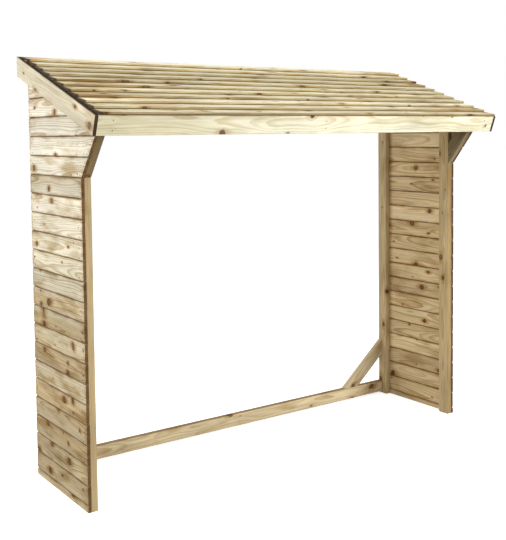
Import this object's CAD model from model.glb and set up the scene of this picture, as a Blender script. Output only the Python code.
"""Looks of an open-fronted timber log store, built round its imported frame.

Lengths are in metres, +Z is up, and the open front faces -Y.
"""
import math
import random

import bmesh
import bpy
from mathutils import Matrix, Vector


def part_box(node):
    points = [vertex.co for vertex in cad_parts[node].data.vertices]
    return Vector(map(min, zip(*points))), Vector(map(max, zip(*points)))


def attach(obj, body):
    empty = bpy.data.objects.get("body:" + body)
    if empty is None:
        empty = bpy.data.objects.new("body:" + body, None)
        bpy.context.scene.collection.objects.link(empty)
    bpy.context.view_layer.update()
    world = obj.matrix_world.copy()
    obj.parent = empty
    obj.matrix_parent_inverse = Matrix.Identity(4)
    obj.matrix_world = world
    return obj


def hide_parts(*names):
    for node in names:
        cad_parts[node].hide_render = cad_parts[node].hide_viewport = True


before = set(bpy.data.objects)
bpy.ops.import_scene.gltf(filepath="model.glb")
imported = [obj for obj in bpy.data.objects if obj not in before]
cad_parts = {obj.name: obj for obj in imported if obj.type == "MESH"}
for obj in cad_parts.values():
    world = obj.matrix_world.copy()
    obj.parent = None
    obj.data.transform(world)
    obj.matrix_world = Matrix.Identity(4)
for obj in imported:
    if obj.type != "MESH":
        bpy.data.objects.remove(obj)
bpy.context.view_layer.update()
SIDES = {"left": -1, "right": 1}

# Side wall boards. A tongue or groove lies between two depths behind the outer face.
BOARD_COVER = 0.090
FOOT_STRIP = 0.030
CHAMFER = 0.0050
JOINT_GAP = 0.0018
TONGUE = (0.0066, 0.0096)
TONGUE_H = 0.0045
GROOVE = (0.0062, 0.0102)
GROOVE_H = 0.0085
END_STAGGER = 0.0016
FACE_STAGGER = 0.0006
LIFT = 0.0003
BOARD_STOPS = 5
WALL_ARRIS = 0.0004
SHARP_DEGREES = 32

# Nails. Shares are heights up a board or across the fascia, and the rest are lengths.
NAIL_R = 0.0026
NAIL_SIDES = 10
NAIL_PROUD = 0.0004
NAIL_SUNK = 0.0006
NAIL_CROWN = 0.62
NAIL_JITTER = 0.004
NAIL_SHARES = (0.17, 0.60)
NARROW_BOARD = 0.050
NAILS_FROM_FRONT = 0.036
NAILS_FROM_REAR = 0.034
NAILS_UP_BRACE = (0.020, 0.052)
NAILS_BELOW_TOP = 0.020
FASCIA_SHARES = (0.25, 0.75)

# How far along its log a board is cut, and where the pith lies from its middle, across and through
LOG_RUN = (0, 40)
PITH_ACROSS = 0.045
PITH_BELOW = (0.025, 0.075)

# Heights and places closer than this count as the same, and points closer than MERGE are one
TOLERANCE = 0.001
MERGE = 0.00001

ACROSS_X = Vector((1, 0, 0))
ACROSS_Y = Vector((0, 1, 0))
UPRIGHT = Vector((0, 0, 1))


# ---------------------------------------------------------------- places taken from the frame

def corners(node):
    """The node's corners in the YZ plane, as (y, z) pairs."""
    found = {(round(v.co.y, 5), round(v.co.z, 5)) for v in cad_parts[node].data.vertices}
    return sorted(found)


WALL_LOW, WALL_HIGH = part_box("right_wall_cladding")
WALL_T = WALL_HIGH.x - WALL_LOW.x
WALL_X = WALL_HIGH.x
FRONT_Y = WALL_LOW.y
REAR_Y = WALL_HIGH.y
HEAD_Z = WALL_HIGH.z
POST_MID_X = sum(b.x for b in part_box("right_front_post")) / 2
FLARE_TIP = min(corners("right_head_cladding"))
ROOF_REAR = max(corners("right_head_cladding"), key=lambda p: p[1])
FLARE = Vector((0, FLARE_TIP[0] - FRONT_Y, FLARE_TIP[1] - HEAD_Z)).normalized()
UP_SLOPE = Vector((0, ROOF_REAR[0] - FLARE_TIP[0], ROOF_REAR[1] - FLARE_TIP[1])).normalized()
OFF_SLOPE = ACROSS_X.cross(UP_SLOPE)


# ---------------------------------------------------------------- node graphs

class Graph:
    """Adds nodes to a tree. Plain values or sockets go in, and sockets come out."""

    def __init__(self, tree):
        self.tree = tree

    def node(self, kind, **settings):
        """A new node with its properties set."""
        made = self.tree.nodes.new(kind)
        for key, value in settings.items():
            setattr(made, key, value)
        return made

    def feed(self, socket, value):
        """Links a socket to an input, or sets the input to a plain value."""
        if isinstance(value, bpy.types.NodeSocket):
            self.tree.links.new(value, socket)
        else:
            socket.default_value = value

    def math(self, operation, *values):
        made = self.node("ShaderNodeMath", operation=operation)
        for socket, value in zip(made.inputs, values):
            self.feed(socket, value)
        return made.outputs[0]

    def vector(self, operation, *values):
        made = self.node("ShaderNodeVectorMath", operation=operation)
        for socket, value in zip(made.inputs, values):
            self.feed(socket, value)
        scalar = operation in ("DOT_PRODUCT", "LENGTH", "DISTANCE")
        return made.outputs["Value" if scalar else "Vector"]

    def split(self, vector):
        made = self.node("ShaderNodeSeparateXYZ")
        self.feed(made.inputs[0], vector)
        return made.outputs

    def combine(self, x, y, z):
        made = self.node("ShaderNodeCombineXYZ")
        for socket, value in zip(made.inputs, (x, y, z)):
            self.feed(socket, value)
        return made.outputs[0]

    def step(self, value, low, high, to_low=0.0, to_high=1.0):
        """A smooth step from to_low at low to to_high at high."""
        made = self.node("ShaderNodeMapRange", interpolation_type="SMOOTHSTEP")
        names = ("Value", "From Min", "From Max", "To Min", "To Max")
        for name, number in zip(names, (value, low, high, to_low, to_high)):
            self.feed(made.inputs[name], number)
        return made.outputs[0]

    def noise(self, vector, stretch, detail=2.0, colour=False):
        """Noise with this many cells a metre along each axis."""
        made = self.node("ShaderNodeTexNoise")
        self.feed(made.inputs["Vector"], self.vector("MULTIPLY", vector, stretch))
        made.inputs["Scale"].default_value = 1.0
        made.inputs["Detail"].default_value = detail
        return made.outputs[1 if colour else 0]

    def mix(self, factor, a, b, blend="MIX"):
        """From colour a at factor 0 to b at factor 1."""
        made = self.node("ShaderNodeMix", data_type="RGBA", blend_type=blend)
        self.feed(made.inputs[0], factor)
        self.feed(made.inputs[6], a)
        self.feed(made.inputs[7], b)
        return made.outputs[2]

    def cover(self, colour, amount, strength, paint):
        """Lays paint over a colour, at this strength where amount is 1."""
        return self.mix(self.math("MULTIPLY", amount, strength), colour, paint)

    def tint(self, colour, amount, strength, stain):
        """Multiplies a colour by a stain, at this strength where amount is 1."""
        return self.mix(self.math("MULTIPLY", amount, strength), colour, stain, "MULTIPLY")


def rgb(red, green, blue):
    """An opaque colour in linear light."""
    return (red, green, blue, 1.0)


# Growth rings, and the whorls of branches that leave the pith. Knots and halos stretch along the grain
# as their height factors fall under 1, and PIN_ is for the small knots between the branches.
RING = 0.0054
RING_RIPPLE = 0.0024
RING_PUSH = 0.0070
WHORL = 0.185
WHORL_UNEVEN = 0.85
BRANCHES = 4
BRANCH_SPREAD = 2 * math.pi / BRANCHES
BRANCH_RISE = 0.22
KNOT_R = (0.0025, 0.0140)
KNOT_WOBBLE = (0.0050, 0.0060)
BARE_BRANCHES = 0.24
KNOT_HEIGHT = 0.80
HALO_HEIGHT = 0.42
PIN_CELL = (0.075, 0.034)
PIN_R = 0.0017
PIN_BARE = 0.72
LEAST_R = 0.00001
HEART_R = (0.068, 0.046)

KNOT_DARK = rgb(0.050, 0.021, 0.006)
KNOT_MID = rgb(0.190, 0.080, 0.024)
KNOT_RIM = rgb(0.022, 0.012, 0.006)
KNOT_HALO = rgb(0.60, 0.38, 0.17)
BROWN_STAIN = rgb(0.54, 0.41, 0.21)
GREEN_TINT = rgb(0.80, 0.86, 0.66)
HEARTWOOD = rgb(0.86, 0.71, 0.48)
BLEACHED = rgb(0.86, 0.83, 0.73)


def centred(g, value):
    """A noise colour moved so that it runs either side of zero."""
    return g.vector("SUBTRACT", value, (0.5, 0.5, 0.5))


def swayed(g, value, share):
    """One, more or less by up to half a share as a noise value runs from 0 to 1."""
    return g.math("MULTIPLY_ADD", g.math("SUBTRACT", value, 0.5), share, 1.0)


def grey(g, value):
    """A colour with this value in each channel."""
    return g.combine(value, value, value)


def whorls(g, along, feature):
    """Outputs of an uneven pattern of whorls along the log."""
    cell = g.node("ShaderNodeTexVoronoi", voronoi_dimensions="1D", feature=feature)
    cell.inputs["Scale"].default_value = 1.0
    cell.inputs["Randomness"].default_value = WHORL_UNEVEN
    g.feed(cell.inputs["W"], g.math("DIVIDE", along, WHORL))
    return cell.outputs


def nearest_branch(g, along, pith):
    """Height and number of the nearest branch, the angle from it, and 1 fading to 0 between two branches."""
    whorl = whorls(g, along, "F1")
    height = g.math("MULTIPLY", whorl["W"], WHORL)
    border = whorls(g, along, "DISTANCE_TO_EDGE")
    _, across, through = g.split(pith)
    turn = g.math("ARCTAN2", across, through)
    start = g.math("MULTIPLY", g.split(whorl["Color"])[0], 2 * math.pi)
    swing = g.math("DIVIDE", g.math("SUBTRACT", turn, start), BRANCH_SPREAD)
    number = g.math("ROUND", swing)
    off = g.math("SUBTRACT", swing, number)
    angle = g.math("MULTIPLY", off, BRANCH_SPREAD)
    within = g.step(g.math("ABSOLUTE", off), 0.50, 0.34)
    within = g.math("MULTIPLY", within, g.step(border["Distance"], 0.0, 0.16))
    return height, number, angle, within


def branch_radius(g, height, number, outward):
    """Radius of a branch, almost nothing for some, and a number of its own for its colour."""
    luck = g.node("ShaderNodeTexWhiteNoise", noise_dimensions="2D")
    seed = g.combine(g.math("MULTIPLY", number, 3.7), g.math("MULTIPLY", height, 91.3), 0.0)
    g.feed(luck.inputs["Vector"], seed)
    chance, size, ripeness = g.split(luck.outputs["Color"])
    radius = g.math("MULTIPLY_ADD", g.math("POWER", size, 2.2), KNOT_R[1] - KNOT_R[0], KNOT_R[0])
    radius = g.math("MULTIPLY", radius, g.step(outward, 0.0, 0.030, 0.25, 1.0))
    radius = g.math("MULTIPLY", radius, g.math("GREATER_THAN", chance, BARE_BRANCHES))
    return g.math("MAXIMUM", radius, LEAST_R), ripeness


def branch_knots(g, grain, pith):
    """Distance from the nearest branch over its radius, the brown halo round it, and its own number."""
    along = g.split(grain)[0]
    wobble = g.split(centred(g, g.noise(grain, (70, 70, 70), 1.5, colour=True)))
    height, number, angle, within = nearest_branch(g, along, pith)
    reach = g.vector("LENGTH", pith)
    side = g.math("MULTIPLY", reach, g.math("SINE", angle))
    side = g.math("MULTIPLY_ADD", wobble[0], KNOT_WOBBLE[0], side)
    outward = g.math("MULTIPLY", reach, g.math("COSINE", angle))
    climb = g.math("MULTIPLY", outward, BRANCH_RISE)
    rise = g.math("SUBTRACT", g.math("SUBTRACT", along, height), climb)
    rise = g.math("MULTIPLY_ADD", wobble[1], KNOT_WOBBLE[1], rise)
    radius, ripeness = branch_radius(g, height, number, outward)
    near = g.vector("LENGTH", g.combine(side, g.math("MULTIPLY", rise, KNOT_HEIGHT), 0.0))
    drawn = g.vector("LENGTH", g.combine(side, g.math("MULTIPLY", rise, HALO_HEIGHT), 0.0))
    ragged = g.math("MULTIPLY_ADD", g.noise(grain, (30, 90, 90), 2.0), 2.0, 1.3)
    halo = g.math("MULTIPLY", g.step(g.math("DIVIDE", drawn, radius), ragged, 0.8), within)
    return g.math("DIVIDE", near, radius), halo, ripeness


def pin_knots(g, grain):
    """Small dark dots, one at most in each cell of a stretched pattern."""
    cell = g.node("ShaderNodeTexVoronoi", voronoi_dimensions="2D", feature="F1")
    cell.inputs["Scale"].default_value = 1.0
    spot = g.vector("MULTIPLY", grain, (1 / PIN_CELL[0], 1 / PIN_CELL[1], 0))
    g.feed(cell.inputs["Vector"], spot)
    away = g.vector("MULTIPLY", g.vector("SUBTRACT", spot, cell.outputs["Position"]), (*PIN_CELL, 0))
    chance, size, _ = g.split(cell.outputs["Color"])
    shown = g.math("GREATER_THAN", chance, PIN_BARE)
    radius = g.math("MULTIPLY", g.math("MULTIPLY", size, PIN_R), shown)
    radius = g.math("MAXIMUM", radius, LEAST_R)
    return g.step(g.math("DIVIDE", g.vector("LENGTH", away), radius), 1.1, 0.8)


def growth_rings(g, grain, pith, share):
    """Latewood of the growth rings round the pith, pushed aside by the knots."""
    ripple = g.math("MULTIPLY_ADD", g.noise(grain, (7, 38, 38), 2.0), RING_RIPPLE, -RING_RIPPLE / 2)
    reach = g.math("ADD", g.vector("LENGTH", pith), ripple)
    reach = g.math("ADD", reach, g.math("MULTIPLY", g.step(share, 3.0, 0.9), RING_PUSH))
    count = g.math("DIVIDE", reach, RING)
    phase = g.math("FRACT", count)
    year = g.node("ShaderNodeTexWhiteNoise", noise_dimensions="1D")
    g.feed(year.inputs["W"], g.math("FLOOR", count))
    late = g.math("MULTIPLY", g.step(phase, 0.30, 0.88), g.step(phase, 1.0, 0.93))
    return g.math("MULTIPLY", late, g.math("MULTIPLY_ADD", year.outputs["Value"], 0.70, 0.30))


def open_sockets(tree):
    """What the group takes in and gives out."""
    face = tree.interface
    face.new_socket("Grain", in_out="INPUT", socket_type="NodeSocketVector")
    for name in ("End", "Tone", "Contrast", "Soiling"):
        face.new_socket(name, in_out="INPUT", socket_type="NodeSocketFloat")
    for name in ("Pale", "Deep", "Ends"):
        face.new_socket(name, in_out="INPUT", socket_type="NodeSocketColor")
    face.new_socket("Color", in_out="OUTPUT", socket_type="NodeSocketColor")
    for name in ("Roughness", "Height"):
        face.new_socket(name, in_out="OUTPUT", socket_type="NodeSocketFloat")


def weathered_wood(g, given, late, pith, cloud):
    """Pale and deep rings with their heartwood, damp green, bleaching and brown soiling."""
    shifted = g.vector("ADD", given["Grain"], (7.0, 3.0, 1.0))
    blotch = g.step(g.noise(shifted, (4.5, 15, 15), 3.0), 0.46, 0.72)
    dashes = g.step(g.noise(shifted, (9, 230, 230), 2.0), 0.64, 0.76)
    damp = g.step(g.noise(shifted, (1.1, 5, 5), 2.0), 0.52, 0.75)
    heart = g.step(g.math("MULTIPLY_ADD", cloud, 0.03, g.vector("LENGTH", pith)), *HEART_R)
    bleached = g.step(given["Tone"], 0.62, 1.0)
    soiled = g.math("MAXIMUM", blotch, g.math("MULTIPLY", dashes, 0.8))
    colour = g.cover(given["Pale"], late, given["Contrast"], given["Deep"])
    colour = g.tint(colour, heart, 0.55, HEARTWOOD)
    colour = g.tint(colour, damp, 0.35, GREEN_TINT)
    colour = g.cover(colour, bleached, 0.30, BLEACHED)
    return g.tint(colour, soiled, given["Soiling"], BROWN_STAIN)


def knotted(g, given, colour, knots):
    """Lays the branch knots over the wood: a ringed dark inside, a darker rim, and the pin knots."""
    share, knot, ripeness = knots
    rim = g.math("MULTIPLY", g.step(share, 1.40, 1.02), g.step(share, 0.62, 0.92))
    ringed = g.step(g.math("FRACT", g.math("MULTIPLY", share, 3.3)), 0.1, 0.9)
    inside = g.mix(ringed, KNOT_DARK, KNOT_MID)
    inside = g.cover(inside, ripeness, 0.32, given["Deep"])
    colour = g.cover(colour, knot, 0.94, inside)
    colour = g.cover(colour, rim, 0.60, KNOT_RIM)
    return g.cover(colour, pin_knots(g, given["Grain"]), 0.80, KNOT_DARK)


def pine_figure():
    """Group that draws softwood from grain coordinates: along, across and through the log, in metres."""
    tree = bpy.data.node_groups.new("pine_figure", "ShaderNodeTree")
    open_sockets(tree)
    g = Graph(tree)
    given = g.node("NodeGroupInput").outputs
    grain = given["Grain"]
    _, across, through = g.split(grain)
    drift = centred(g, g.noise(grain, (1.3, 2.0, 2.0), 2.0, colour=True))
    pith = g.vector("MULTIPLY_ADD", drift, (0.0, 0.075, 0.055), g.combine(0.0, across, through))

    share, halo, ripeness = branch_knots(g, grain, pith)
    knot = g.step(share, 1.04, 0.84)
    late = growth_rings(g, grain, pith, share)
    fibre = g.noise(grain, (16, 700, 700), 3.0)
    streak = g.noise(grain, (2.2, 110, 110), 3.0)
    cloud = g.noise(grain, (3.0, 14, 14), 3.0)

    colour = weathered_wood(g, given, late, pith, cloud)
    stained = g.math("MULTIPLY_ADD", given["Soiling"], 0.6, 0.35)
    colour = g.tint(colour, halo, stained, KNOT_HALO)
    shade = swayed(g, fibre, 0.34)
    shade = g.math("MULTIPLY", shade, swayed(g, streak, 0.36))
    shade = g.math("MULTIPLY", shade, swayed(g, cloud, 0.60))
    shade = g.math("MULTIPLY", shade, g.math("MULTIPLY_ADD", given["Tone"], 0.36, 0.82))
    colour = g.mix(1.0, colour, grey(g, shade), "MULTIPLY")
    colour = knotted(g, given, colour, (share, knot, ripeness))
    ringed = grey(g, g.math("MULTIPLY_ADD", late, -0.45, 1.15))
    ends = g.mix(1.0, given["Ends"], ringed, "MULTIPLY")
    ends = g.mix(1.0, ends, grey(g, shade), "MULTIPLY")

    height = g.math("MULTIPLY_ADD", late, 0.35, g.math("MULTIPLY", fibre, 0.8))
    rough = g.math("MULTIPLY_ADD", fibre, 0.18, 0.52)
    out = g.node("NodeGroupOutput")
    g.feed(out.inputs["Color"], g.mix(given["End"], colour, ends))
    g.feed(out.inputs["Roughness"], g.math("MULTIPLY_ADD", knot, -0.12, rough))
    g.feed(out.inputs["Height"], g.math("ADD", height, g.math("MULTIPLY", knot, 0.6)))
    return tree


FIGURE = pine_figure()

# Each finish: pale wood, deep wood, end grain, ring contrast and brown soiling
FINISHES = {
    "left_cladding": (rgb(0.76, 0.695, 0.525), rgb(0.43, 0.325, 0.175), rgb(0.165, 0.10, 0.04), 0.90, 0.80),
    "right_cladding": (rgb(0.74, 0.65, 0.47), rgb(0.46, 0.34, 0.18), rgb(0.080, 0.047, 0.020), 0.90, 0.60),
    "framing": (rgb(0.60, 0.465, 0.262), rgb(0.38, 0.268, 0.128), rgb(0.200, 0.128, 0.060), 0.70, 0.45),
    "rail": (rgb(0.74, 0.610, 0.385), rgb(0.50, 0.370, 0.190), rgb(0.200, 0.128, 0.060), 0.80, 0.60),
    "roof": (rgb(0.65, 0.605, 0.435), rgb(0.42, 0.335, 0.185), rgb(0.030, 0.020, 0.011), 0.80, 0.60),
    "fascia": (rgb(0.96, 0.920, 0.710), rgb(0.74, 0.640, 0.410), rgb(0.060, 0.038, 0.018), 0.85, 0.30),
    "bargeboard": (rgb(0.53, 0.470, 0.335), rgb(0.36, 0.285, 0.165), rgb(0.050, 0.031, 0.015), 0.80, 0.60),
}
GLOSS = 0.12
GRAIN_BUMP = 0.45
GRAIN_DEPTH = 0.0006
END_GRAIN_FACING = (0.60, 0.80)
ARRIS_STAIN = rgb(0.50, 0.36, 0.20)
ARRIS_FADE = (0.0050, 0.0012)


def pine_material(name, finish, grain_of, tone_of, lengthwise, after=None):
    """Pine of one finish. grain_of and tone_of make the group's inputs, and after may tint its colour."""
    pale, deep, ends, contrast, soiling = FINISHES[finish]
    material = bpy.data.materials.new(name)
    material.use_nodes = True
    g = Graph(material.node_tree)
    shader = material.node_tree.nodes["Principled BSDF"]
    group = g.node("ShaderNodeGroup", node_tree=FIGURE)
    place = g.node("ShaderNodeTexCoord").outputs
    facing = g.math("ABSOLUTE", g.vector("DOT_PRODUCT", place["Normal"], lengthwise))
    g.feed(group.inputs["Grain"], grain_of(g, place["Object"]))
    g.feed(group.inputs["End"], g.step(facing, *END_GRAIN_FACING))
    g.feed(group.inputs["Tone"], tone_of(g))
    g.feed(group.inputs["Contrast"], contrast)
    g.feed(group.inputs["Soiling"], soiling)
    g.feed(group.inputs["Pale"], pale)
    g.feed(group.inputs["Deep"], deep)
    g.feed(group.inputs["Ends"], ends)
    colour = group.outputs["Color"]
    if after is not None:
        colour = after(g, place, colour)
    bump = g.node("ShaderNodeBump")
    bump.inputs["Strength"].default_value = GRAIN_BUMP
    bump.inputs["Distance"].default_value = GRAIN_DEPTH
    g.feed(bump.inputs["Height"], group.outputs["Height"])
    g.feed(shader.inputs["Base Color"], colour)
    g.feed(shader.inputs["Roughness"], group.outputs["Roughness"])
    g.feed(shader.inputs["Normal"], bump.outputs[0])
    shader.inputs["Specular IOR Level"].default_value = GLOSS
    return material


def log_start(luck):
    """Where a board's middle lies in a log of its own: along, across and through."""
    return Vector((luck.uniform(*LOG_RUN), luck.uniform(-1, 1) * PITH_ACROSS, luck.uniform(*PITH_BELOW)))


def one_timber_material(name, finish, axes, centre, half, luck, tone, extra):
    """Pine for a single timber, cut from its own place in its own log, a little darker at its arrises."""
    start = log_start(luck)
    tone = luck.random() if tone is None else tone

    def local(g, place):
        moved = g.vector("SUBTRACT", place, centre)
        return g.combine(*[g.vector("DOT_PRODUCT", moved, axis) for axis in axes])

    def after(g, place, colour):
        inside = g.vector("SUBTRACT", half, g.vector("ABSOLUTE", local(g, place["Object"])))
        _, from_side, from_face = g.split(inside)
        near = g.step(g.math("ADD", from_side, from_face), *ARRIS_FADE)
        patchy = g.step(g.noise(place["Object"], (14, 14, 14), 2.0), 0.35, 0.70, 0.2, 1.0)
        colour = g.tint(colour, g.math("MULTIPLY", near, patchy), 0.55, ARRIS_STAIN)
        return colour if extra is None else extra(g, place, colour)

    def grain_of(g, place):
        return g.vector("ADD", local(g, place), start)

    return pine_material(name, finish, grain_of, lambda g: tone, axes[0], after)


def boards_material(name, finish, lengthwise, after=None):
    """Pine for a mesh of many boards, whose grain and tone are attributes of its points."""

    def grain_of(g, place):
        return g.node("ShaderNodeAttribute", attribute_name="grain").outputs["Vector"]

    def tone_of(g):
        return g.node("ShaderNodeAttribute", attribute_name="tone").outputs["Fac"]

    return pine_material(name, finish, grain_of, tone_of, lengthwise, after)


NAIL_DARK = rgb(0.020, 0.014, 0.010)
NAIL_PALE = rgb(0.075, 0.050, 0.032)


def nail_material():
    """Dull galvanised steel, tarnished brown."""
    material = bpy.data.materials.new("nail_steel")
    material.use_nodes = True
    g = Graph(material.node_tree)
    shader = material.node_tree.nodes["Principled BSDF"]
    place = g.node("ShaderNodeTexCoord").outputs["Object"]
    tarnish = g.noise(place, (700, 700, 700), 2.0)
    g.feed(shader.inputs["Base Color"], g.mix(tarnish, NAIL_DARK, NAIL_PALE))
    g.feed(shader.inputs["Roughness"], g.math("MULTIPLY_ADD", tarnish, 0.3, 0.35))
    shader.inputs["Metallic"].default_value = 0.8
    return material


# ---------------------------------------------------------------- meshes of many boards

class Boards:
    """Collects boards into one mesh, with each point's place in its log and its board's tone."""

    def __init__(self):
        self.points, self.faces, self.grain, self.tone = [], [], [], []

    def add(self, mesh, to_grain, tone):
        """Takes in one board's mesh and frees it."""
        first = len(self.points)
        mesh.verts.index_update()
        for vert in mesh.verts:
            self.points.append(vert.co.copy())
            self.grain.append(to_grain(vert.co))
            self.tone.append(tone)
        self.faces.extend([first + v.index for v in face.verts] for face in mesh.faces)
        mesh.free()

    def build(self, name):
        """The object, with the grain and tone as attributes of its points."""
        data = bpy.data.meshes.new(name)
        data.from_pydata(self.points, [], self.faces)
        grain = data.attributes.new("grain", "FLOAT_VECTOR", "POINT")
        grain.data.foreach_set("vector", [n for place in self.grain for n in place])
        data.attributes.new("tone", "FLOAT", "POINT").data.foreach_set("value", self.tone)
        return link(name, data)


def link(name, data):
    """A new object in the scene."""
    made = bpy.data.objects.new(name, data)
    bpy.context.scene.collection.objects.link(made)
    return made


def ease_edges(piece, width, segments):
    """Rounds every sharp edge a little, as planing and handling do."""
    bevel = piece.modifiers.new("eased_edges", "BEVEL")
    bevel.width = width
    bevel.segments = segments
    bevel.limit_method = "ANGLE"
    bevel.angle_limit = math.radians(SHARP_DEGREES)
    bevel.harden_normals = False


def wall_board_profile(height, foot, head):
    """Outline of a wall board as (depth from the outer face, height), tongue up and groove down."""
    outline = [(0, CHAMFER), (CHAMFER, 0), (GROOVE[0], 0), (GROOVE[0], GROOVE_H), (GROOVE[1], GROOVE_H)]
    outline += [(GROOVE[1], JOINT_GAP), (WALL_T, JOINT_GAP)]
    if foot:
        outline = [(0, 0), (WALL_T, 0)]
    if head:
        return outline + [(WALL_T, height), (0, height)]
    outline += [(WALL_T, height), (TONGUE[1], height), (TONGUE[1], height + TONGUE_H)]
    outline += [(TONGUE[0], height + TONGUE_H), (TONGUE[0], height), (CHAMFER, height), (0, height - CHAMFER)]
    return outline


def prism(outline, sections):
    """A closed mesh through cross-sections, each a function from an outline point to its place."""
    mesh = bmesh.new()
    rings = [[mesh.verts.new(place(*point)) for point in outline] for place in sections]
    for near, far in zip(rings, rings[1:]):
        for i in range(len(outline)):
            j = (i + 1) % len(outline)
            mesh.faces.new((near[i], near[j], far[j], far[i]))
    mesh.faces.new(rings[0])
    mesh.faces.new(list(reversed(rings[-1])))
    bmesh.ops.recalc_face_normals(mesh, faces=mesh.faces)
    return mesh


def cut(mesh, point, outward):
    """Cuts away what lies on the outward side of a plane, and closes the cut."""
    geometry = list(mesh.verts) + list(mesh.edges) + list(mesh.faces)
    done = bmesh.ops.bisect_plane(
        mesh, geom=geometry, dist=MERGE / 10, plane_co=point, plane_no=outward, clear_outer=True
    )
    edges = [e for e in done["geom_cut"] if isinstance(e, bmesh.types.BMEdge)]
    if edges:
        bmesh.ops.holes_fill(mesh, edges=edges, sides=0)


def wall_board(side, low, high, foot, head, luck):
    """One tongue-and-groove board of a side wall, from height low to high, cut to the flare and slope."""
    outer = side * WALL_X
    inward = -side
    sunk = luck.uniform(0, FACE_STAGGER)
    flared = low > HEAD_Z - TOLERANCE
    front = FLARE_TIP[0] if flared else FRONT_Y
    front_end = front + luck.uniform(0, END_STAGGER)
    rear_end = REAR_Y - luck.uniform(0, END_STAGGER)
    lift = luck.uniform(-LIFT, LIFT)

    def section(y, bow):
        def place(depth, height):
            inset = depth + sunk + bow if depth < WALL_T / 2 else depth
            level = low + height + (lift if 0 < height < high - low else 0)
            return (outer + inward * min(WALL_T, inset), y, max(level, 0))

        return place

    run = rear_end - front_end
    places = [front_end + run * i / (BOARD_STOPS - 1) for i in range(BOARD_STOPS)]
    sections = [section(y, luck.uniform(0, FACE_STAGGER / 2)) for y in places]
    mesh = prism(wall_board_profile(high - low, foot, head), sections)
    if flared:
        foot_point = Vector((0, FRONT_Y + luck.uniform(0, END_STAGGER / 2), HEAD_Z))
        cut(mesh, foot_point, Vector((0, -FLARE.z, FLARE.y)))
        cut(mesh, Vector((0, *FLARE_TIP)), OFF_SLOPE)
    return mesh


def wall_levels():
    """Heights of the wall's joints, from the ground to above the top of the flare."""
    levels = [0.0, FOOT_STRIP]
    while levels[-1] < ROOF_REAR[1]:
        levels.append(levels[-1] + BOARD_COVER)
    return levels


def build_wall(name, side):
    """The boards of a side wall below the flare, and those of its flared head."""
    luck = random.Random("wall " + name)
    levels = wall_levels()
    parts = {"wall_boards": Boards(), "head_boards": Boards()}
    for low, high in zip(levels, levels[1:]):
        flared = low > HEAD_Z - TOLERANCE
        middle = (low + high) / 2
        start = log_start(luck)
        mesh = wall_board(side, low, high, low == 0, high == levels[-1], luck)

        def to_grain(place, start=start, middle=middle):
            return start + Vector((place.y, place.z - middle, (place.x - side * WALL_X) * -side))

        parts["head_boards" if flared else "wall_boards"].add(mesh, to_grain, luck.random())
    for part, node in (("wall_boards", "wall_cladding"), ("head_boards", "head_cladding")):
        piece = parts[part].build(f"{name}_{part}")
        ease_edges(piece, WALL_ARRIS, 1)
        piece.data.materials.append(WALL_PINE[name])
        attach(piece, "root")
        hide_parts(f"{name}_{node}")


JOINT_BROWN = rgb(0.62, 0.44, 0.25)
JOINT_DARK = rgb(0.16, 0.10, 0.05)
SAWN_BACK = rgb(1.00, 0.88, 0.69)
FOOT_BROWN = rgb(0.74, 0.62, 0.44)
HEAD_COOL = rgb(0.96, 0.985, 1.070)

# Where each stain of the walls starts and where it is full: from a joint, from a board's end, by height
JOINT_DIRT = (0.015, 0.002)
JOINT_SHADE = (0.0062, 0.0030)
JOINT_LINE = (0.0034, 0.0016)
END_DIRT = (0.034, 0.001)
COOL_RISE = (0.80, 1.80)
BROWN_FALL = (1.25, 0.0)
FACING_IN = (-0.4, -0.7)
FACING_OUT = (0.4, 0.7)


def from_joint(g, height):
    """How far the nearest joint between wall boards is, up or down."""
    turn = g.math("FRACT", g.math("DIVIDE", g.math("SUBTRACT", height, FOOT_STRIP), BOARD_COVER))
    return g.math("MULTIPLY", g.math("MINIMUM", turn, g.math("SUBTRACT", 1.0, turn)), BOARD_COVER)


def from_end(g, deep, height):
    """How far the nearer end of a wall board is. The front end follows the flare."""
    flared = g.math("MAXIMUM", g.math("SUBTRACT", height, HEAD_Z), 0.0)
    front = g.math("MULTIPLY_ADD", flared, FLARE.y / FLARE.z, FRONT_Y)
    end = g.math("MINIMUM", g.math("SUBTRACT", deep, front), g.math("SUBTRACT", REAR_Y, deep))
    return g.math("ABSOLUTE", end)


def weather_walls(g, place, colour):
    """Browns a wall's boards at joints, ends, feet and sawn backs, and cools them near the eaves."""
    across, deep, height = g.split(place["Object"])
    near = from_joint(g, height)
    patchy = g.step(g.noise(place["Object"], (10, 10, 60), 2.5), 0.34, 0.70, 0.15, 1.0)
    dirt = g.math("MAXIMUM", g.step(near, *JOINT_DIRT), g.step(from_end(g, deep, height), *END_DIRT))
    colour = g.tint(colour, g.math("MULTIPLY", dirt, patchy), 0.80, JOINT_BROWN)
    colour = g.cover(colour, g.step(near, *JOINT_SHADE), g.math("MULTIPLY", patchy, 0.55), JOINT_DARK)
    colour = g.cover(colour, g.step(near, *JOINT_LINE), 0.75, JOINT_DARK)
    facing = g.math("MULTIPLY", g.split(place["Normal"])[0], g.math("SIGN", across))
    colour = g.mix(g.step(facing, *FACING_IN), colour, SAWN_BACK, "MULTIPLY")
    outer = g.step(facing, *FACING_OUT)
    colour = g.tint(colour, g.step(height, *COOL_RISE), outer, HEAD_COOL)
    low = g.math("MULTIPLY", g.step(height, *BROWN_FALL), outer)
    return g.tint(colour, low, 0.75, FOOT_BROWN)


WALL_PINE = {
    side: boards_material(f"{side}_wall_pine", f"{side}_cladding", ACROSS_Y, weather_walls) for side in SIDES
}
NAIL_STEEL = nail_material()


# ---------------------------------------------------------------- nails

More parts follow.
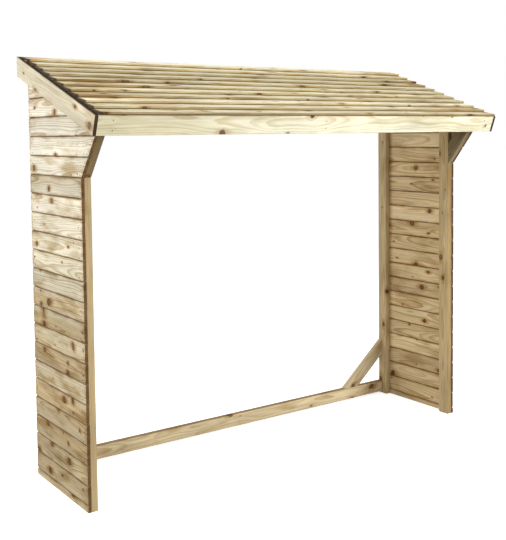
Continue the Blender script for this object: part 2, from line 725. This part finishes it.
def nail_head(mesh, place, normal, luck):
    """A low domed nail head on a face, standing out a little more or less by luck."""
    normal = Vector(normal).normalized()
    side = normal.orthogonal().normalized()
    over = normal.cross(side)
    proud = NAIL_PROUD * luck.uniform(0.4, 1.0)
    turns = [2 * math.pi * i / NAIL_SIDES for i in range(NAIL_SIDES)]
    made = []
    for radius, lift in ((NAIL_R, -NAIL_SUNK), (NAIL_R, proud * 0.5), (NAIL_R * NAIL_CROWN, proud)):
        spokes = [side * radius * math.cos(a) + over * radius * math.sin(a) for a in turns]
        made.append([mesh.verts.new(place + normal * lift + spoke) for spoke in spokes])
    for low, high in zip(made, made[1:]):
        for i in range(NAIL_SIDES):
            j = (i + 1) % NAIL_SIDES
            mesh.faces.new((low[i], low[j], high[j], high[i]))
    mesh.faces.new(made[-1])
    mesh.faces.new(list(reversed(made[0])))


def build_nails(name, spots):
    """One mesh of nail heads, from (place, normal) pairs."""
    luck = random.Random("nails " + name)
    mesh = bmesh.new()
    for place, normal in spots:
        jitter = Vector(luck.uniform(-1, 1) * NAIL_JITTER for _ in range(3))
        flat = Vector(normal).normalized()
        nail_head(mesh, Vector(place) + jitter - flat * jitter.dot(flat), normal, luck)
    data = bpy.data.meshes.new(name)
    mesh.to_mesh(data)
    mesh.free()
    piece = link(name, data)
    piece.data.materials.append(NAIL_STEEL)
    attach(piece, "root")


def flare_front(z):
    """Place along Y of the wall's front edge at height z."""
    if z <= HEAD_Z:
        return FRONT_Y
    return FRONT_Y + FLARE.y / FLARE.z * (z - HEAD_Z)


def slope_height(y):
    """Height of the top of the wall at a place along Y."""
    return FLARE_TIP[1] + (y - FLARE_TIP[0]) * UP_SLOPE.z / UP_SLOPE.y


def wall_nail_spots(side):
    """Two nails a board over each post, and two rows up the knee brace."""
    spots = []
    levels = wall_levels()
    normal = (side, 0, 0)
    for low, high in zip(levels, levels[1:]):
        shares = NAIL_SHARES if high - low > NARROW_BOARD else (0.5,)
        for z in [low + share * (high - low) for share in shares]:
            rows = [FRONT_Y + NAILS_FROM_FRONT, REAR_Y - NAILS_FROM_REAR]
            if z > HEAD_Z:
                rows += [flare_front(z) + inset for inset in NAILS_UP_BRACE]
            rows = [y for y in rows if z < slope_height(y) - NAILS_BELOW_TOP]
            spots += [((side * WALL_X, y, z), normal) for y in rows]
    return spots


# ---------------------------------------------------------------- framing, trim and roof

# Timbers cut from another part of the log than the one that their name gives
CUTS = {"front_fascia": " f", "left_bargeboard": " b"}
ARRIS_SEGMENTS = 3
POST_ARRIS = 0.0035
TRIM_ARRIS = 0.0014
ROOF_ARRIS = 0.0010

# How light a timber is, from 0 to 1, and under 0 for the darkest
FRONT_POST_TONES = {"left": 0.80, "right": 0.48}
REAR_POST_TONE = 0.60
RAIL_TONE = 0.60
CORNER_BRACE_TONE = 0.25
KNEE_BRACE_TONE = -1.0
FASCIA_TONE = 0.50

KNEE = Vector((0, FLARE.y, FLARE.z))
KNEE_ACROSS = Vector((0, FLARE.z, -FLARE.y))
BARGE_X = -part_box("left_bargeboard")[1].x
ROOF_BOARDS = sorted(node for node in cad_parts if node.startswith("roof_board"))


def dress(node, finish, lengthwise, widthwise, arris, tone=None, extra=None):
    """Gives a CAD timber eased edges and its own pine."""
    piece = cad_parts[node]
    axes = [Vector(lengthwise).normalized(), Vector(widthwise).normalized()]
    axes.append(axes[0].cross(axes[1]))
    spans = []
    for axis in axes:
        reach = [v.co.dot(axis) for v in piece.data.vertices]
        spans.append((min(reach), max(reach)))
    centre = sum((axis * (low + high) / 2 for axis, (low, high) in zip(axes, spans)), Vector())
    half = Vector((high - low) / 2 for low, high in spans)
    luck = random.Random("timber " + node + CUTS.get(node, ""))
    material = one_timber_material(node + "_pine", finish, axes, centre, half, luck, tone, extra)
    piece.data.materials.clear()
    piece.data.materials.append(material)
    weld = piece.modifiers.new("joined_corners", "WELD")
    weld.merge_threshold = MERGE
    ease_edges(piece, arris, ARRIS_SEGMENTS)
    flat = piece.modifiers.new("flat_faces", "WEIGHTED_NORMAL")
    flat.keep_sharp = False


EDGE_BROWN = rgb(0.034, 0.021, 0.010)
EDGE_GAP = rgb(0.010, 0.007, 0.004)
EDGE_UP = (0.55, 0.80)
BARGE_GAP = (0.0065, 0.0045)


def stain_bargeboard(side):
    """Browns a bargeboard's upper edge, most of all beside the roof boards."""
    inner = min(abs(corner.x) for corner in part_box(f"{side}_bargeboard"))

    def extra(g, place, colour):
        up = g.step(g.vector("DOT_PRODUCT", place["Normal"], OFF_SLOPE), *EDGE_UP)
        colour = g.cover(colour, up, 0.94, EDGE_BROWN)
        gap = g.math("SUBTRACT", g.math("ABSOLUTE", g.split(place["Object"])[0]), inner)
        return g.cover(colour, up, g.step(gap, *BARGE_GAP), EDGE_GAP)

    return extra


BUTT_TAN = rgb(0.82, 0.73, 0.53)
LOWEST_BUTT = rgb(0.72, 0.55, 0.33)
BUTT_SHADE = rgb(0.085, 0.052, 0.024)
WATER_STAIN = rgb(0.66, 0.49, 0.29)
LAP_DIRT = rgb(0.050, 0.032, 0.016)
BUTT_LINE = 0.0034
BUTT_WAVE = 0.004
LINE_EDGE = 0.001
BUTT_FACING = (-0.55, -0.80)

# Where each stain of the roof starts and where it is full: from the next board's edge, from the left
# bargeboard's inner face, and from the middle of the roof
LAP_REACH = (-0.0060, -0.0015)
BARGE_REACH = (0.017, 0.008)
WET_REACH = (0.62, 1.10)


def foremost_edge(node):
    """How far up the slope the node's lower edge lies."""
    return min(v.co.dot(UP_SLOPE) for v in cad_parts[node].data.vertices)


BOARD_EXPOSED = foremost_edge(ROOF_BOARDS[1]) - foremost_edge(ROOF_BOARDS[0])


def stain_roof_face(g, place, colour, lap_start):
    """Dirt along the next board's lap and the left bargeboard, and water stains towards the ends."""
    across = g.split(place["Object"])[0]
    if lap_start is not None:
        lap = g.math("SUBTRACT", g.vector("DOT_PRODUCT", place["Object"], UP_SLOPE), lap_start)
        colour = g.cover(colour, g.step(lap, *LAP_REACH), 0.80, LAP_DIRT)
    colour = g.cover(colour, g.step(g.math("ADD", across, BARGE_X), *BARGE_REACH), 0.88, LAP_DIRT)
    near_end = g.step(g.math("ABSOLUTE", across), *WET_REACH)
    wet = g.step(g.noise(place["Object"], (2.6, 7.0, 7.0), 3.0), 0.47, 0.60)
    return g.tint(colour, g.math("MULTIPLY", near_end, wet), 0.75, WATER_STAIN)


def stain_butt(node):
    """Browns a roof board's lower edge, with a dark line where it lies on the board below."""
    foremost = foremost_edge(node)
    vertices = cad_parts[node].data.vertices
    foot = min(v.co.dot(OFF_SLOPE) for v in vertices if v.co.dot(UP_SLOPE) < foremost + TOLERANCE)
    tan = LOWEST_BUTT if node == ROOF_BOARDS[0] else BUTT_TAN
    lap_start = None if node == ROOF_BOARDS[-1] else foremost + BOARD_EXPOSED

    def extra(g, place, colour):
        butt = g.step(g.vector("DOT_PRODUCT", place["Normal"], UP_SLOPE), *BUTT_FACING)
        colour = g.tint(colour, butt, 0.85, tan)
        colour = stain_roof_face(g, place, colour, lap_start)
        above = g.math("SUBTRACT", g.vector("DOT_PRODUCT", place["Object"], OFF_SLOPE), foot)
        waves = g.noise(place["Object"], (5, 5, 5), 2.0)
        wavy = g.math("MULTIPLY_ADD", waves, BUTT_WAVE, BUTT_LINE - BUTT_WAVE / 2)
        line = g.step(g.math("SUBTRACT", above, wavy), LINE_EDGE, -LINE_EDGE)
        return g.cover(colour, g.math("MULTIPLY", line, butt), 0.85, BUTT_SHADE)

    return extra


NARROW_EDGE = rgb(0.72, 0.67, 0.56)
RAIL_TOP = rgb(0.42, 0.33, 0.21)
FASCIA_TAN = rgb(0.76, 0.73, 0.66)
TAN_SPAN = (-0.20, -0.95)


def stain_fascia(g, place, colour):
    """Tans the fascia towards its left end."""
    left = g.step(g.split(place["Object"])[0], *TAN_SPAN)
    return g.mix(left, colour, FASCIA_TAN, "MULTIPLY")


def stain_post(g, place, colour):
    """Darkens a post's narrow faces, front and back."""
    narrow = g.step(g.math("ABSOLUTE", g.split(place["Normal"])[1]), 0.60, 0.85)
    return g.mix(narrow, colour, NARROW_EDGE, "MULTIPLY")


def stain_rail(g, place, colour):
    """Browns the upper face of a rail, where water lies."""
    upper = g.step(g.split(place["Normal"])[2], 0.45, 0.75)
    return g.tint(colour, upper, 0.90, RAIL_TOP)


def brace_direction():
    """Direction of the rear corner brace, along its upper edge."""
    points = [v.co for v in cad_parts["rear_corner_brace"].data.vertices]
    low = min(points, key=lambda p: p.x)
    high = max(points, key=lambda p: p.z)
    return Vector((high.x - low.x, 0, high.z - low.z)).normalized()


def dress_side(side):
    """One side's posts, rafter, knee brace and bargeboard."""
    tone = FRONT_POST_TONES[side]
    dress(f"{side}_front_post", "framing", UPRIGHT, ACROSS_Y, POST_ARRIS, tone, stain_post)
    dress(f"{side}_rear_post", "framing", UPRIGHT, ACROSS_Y, POST_ARRIS, REAR_POST_TONE)
    dress(f"{side}_rafter", "framing", UP_SLOPE, OFF_SLOPE, POST_ARRIS)
    dress(f"{side}_knee_brace", "framing", KNEE, KNEE_ACROSS, POST_ARRIS, KNEE_BRACE_TONE)
    stain = stain_bargeboard(side)
    dress(f"{side}_bargeboard", "bargeboard", UP_SLOPE, OFF_SLOPE, TRIM_ARRIS, None, stain)


def dress_frame():
    """Every CAD timber but the side claddings, which boards of this script replace."""
    for side in SIDES:
        dress_side(side)
    dress("middle_rafter", "framing", UP_SLOPE, OFF_SLOPE, POST_ARRIS)
    for rail in ("front_top_rail", "rear_top_rail"):
        dress(rail, "framing", ACROSS_X, UPRIGHT, POST_ARRIS)
    dress("rear_bottom_rail", "rail", ACROSS_X, UPRIGHT, POST_ARRIS, RAIL_TONE, stain_rail)
    rise = brace_direction()
    dress("rear_corner_brace", "rail", rise, rise.cross(ACROSS_Y), POST_ARRIS, CORNER_BRACE_TONE)
    dress("front_fascia", "fascia", ACROSS_X, OFF_SLOPE, TRIM_ARRIS, FASCIA_TONE, stain_fascia)
    for node in ROOF_BOARDS:
        dress(node, "roof", ACROSS_X, UP_SLOPE, ROOF_ARRIS, None, stain_butt(node))


def trim_nail_spots():
    """Nails through the fascia into the three rafters, in pairs."""
    fascia = [Vector((0, y, z)) for y, z in corners("front_fascia")]
    foot = min(fascia, key=lambda p: (round(p.dot(UP_SLOPE), 4), p.dot(OFF_SLOPE)))
    height = max(p.dot(OFF_SLOPE) for p in fascia) - foot.dot(OFF_SLOPE)
    spots = []
    for x in (-POST_MID_X, 0.0, POST_MID_X):
        for share in FASCIA_SHARES:
            spots.append((foot + OFF_SLOPE * height * share + ACROSS_X * x, -UP_SLOPE))
    return spots


for side_name, side_sign in SIDES.items():
    build_wall(side_name, side_sign)
    build_nails(side_name + "_wall_nails", wall_nail_spots(side_sign))
dress_frame()
build_nails("fascia_nails", trim_nail_spots())


# ---------------------------------------------------------------- stage, light and camera

FLOOR_REACH = 60.0
FLOOR_DROP = 0.0005
FLOOR_BOUNCE = 0.50
FLOOR_SEEN = 0.92
FLOOR_GLOW = 0.66


def build_floor():
    """A white floor, which sends less light back up at the object than it shows."""
    data = bpy.data.meshes.new("floor")
    reach = FLOOR_REACH
    rim = [(-reach, -reach, 0), (reach, -reach, 0), (reach, reach, 0), (-reach, reach, 0)]
    data.from_pydata(rim, [], [(0, 1, 2, 3)])
    floor = link("floor", data)
    floor.location.z = -FLOOR_DROP
    material = bpy.data.materials.new("floor_paint")
    material.use_nodes = True
    g = Graph(material.node_tree)
    shader = material.node_tree.nodes["Principled BSDF"]
    seen = g.node("ShaderNodeLightPath").outputs["Is Camera Ray"]
    g.feed(shader.inputs["Base Color"], g.mix(seen, rgb(*[FLOOR_BOUNCE] * 3), rgb(*[FLOOR_SEEN] * 3)))
    g.feed(shader.inputs["Emission Strength"], g.math("MULTIPLY", seen, FLOOR_GLOW))
    shader.inputs["Emission Color"].default_value = rgb(1, 1, 1)
    shader.inputs["Roughness"].default_value = 1.0
    shader.inputs["Specular IOR Level"].default_value = 0.0
    floor.data.materials.append(material)


def build_softbox(name, place, target, size, watts):
    """A rectangular light that faces its target."""
    lamp = bpy.data.lights.new(name, "AREA")
    lamp.shape = "RECTANGLE"
    lamp.size, lamp.size_y = size
    lamp.energy = watts
    made = link(name, lamp)
    made.location = place
    made.rotation_euler = (Vector(place) - Vector(target)).to_track_quat("Z", "Y").to_euler()


def build_world(ambient):
    """White surroundings, seen brighter than they shine."""
    world = bpy.data.worlds.new("studio")
    bpy.context.scene.world = world
    world.use_nodes = True
    g = Graph(world.node_tree)
    shine = world.node_tree.nodes["Background"]
    seen = g.node("ShaderNodeLightPath").outputs["Is Camera Ray"]
    shine.inputs["Color"].default_value = rgb(1, 1, 1)
    g.feed(shine.inputs["Strength"], g.math("MULTIPLY_ADD", seen, 1.0 - ambient, ambient))


AMBIENT = 0.41

# Each softbox: place, what it faces, its two sides and its power in watts
SOFTBOXES = {
    "key": ((2.4, -5.0, 1.9), (0.6, 0.0, 1.2), (3.0, 2.0), 192),
    "fill": ((-4.6, -3.0, 2.2), (-0.4, 0.0, 1.3), (2.4, 1.8), 46),
    "left": ((-3.4, -0.5, 2.6), (-1.2, 0.1, 1.5), (1.6, 1.2), 32),
    "left_rear": ((-3.4, 3.0, 2.9), (-1.1, 0.1, 1.6), (2.2, 1.4), 75),
    "overhead": ((0.2, -0.6, 4.6), (0.0, 0.0, 1.0), (4.0, 3.0), 89),
    "right": ((4.4, 0.4, 2.4), (1.2, 0.1, 1.2), (2.0, 1.6), 38),
    "rear": ((1.5, 5.0, 3.6), (0.3, 0.0, 1.9), (4.0, 2.0), 25),
}


def build_light():
    """Plain soft studio light."""
    build_world(AMBIENT)
    for name, (place, target, size, watts) in SOFTBOXES.items():
        build_softbox(name, place, target, size, watts)


CAMERA_PLACE = Vector((-2.770, -3.685, 1.651))
CAMERA_TURN = 35.39
CAMERA_TILT = -3.36
CAMERA_ROLL = -0.645
CAMERA_LENS = 59.35
SENSOR_WIDTH = 36.0
CAMERA_SHIFT_UP = -0.155


def build_camera():
    """Stands front left, a little below the eave. Its turn to the right, tilt and roll are in degrees."""
    data = bpy.data.cameras.new("camera")
    data.lens = CAMERA_LENS
    data.sensor_width = SENSOR_WIDTH
    data.shift_y = CAMERA_SHIFT_UP
    camera = link("camera", data)
    turn = Matrix.Rotation(math.radians(-CAMERA_TURN), 4, "Z")
    tilt = Matrix.Rotation(math.radians(90 + CAMERA_TILT), 4, "X")
    roll = Matrix.Rotation(math.radians(CAMERA_ROLL), 4, "Z")
    camera.matrix_world = Matrix.Translation(CAMERA_PLACE) @ turn @ tilt @ roll
    bpy.context.scene.camera = camera


build_floor()
build_light()
build_camera()
bpy.context.scene.view_settings.view_transform = "Standard"
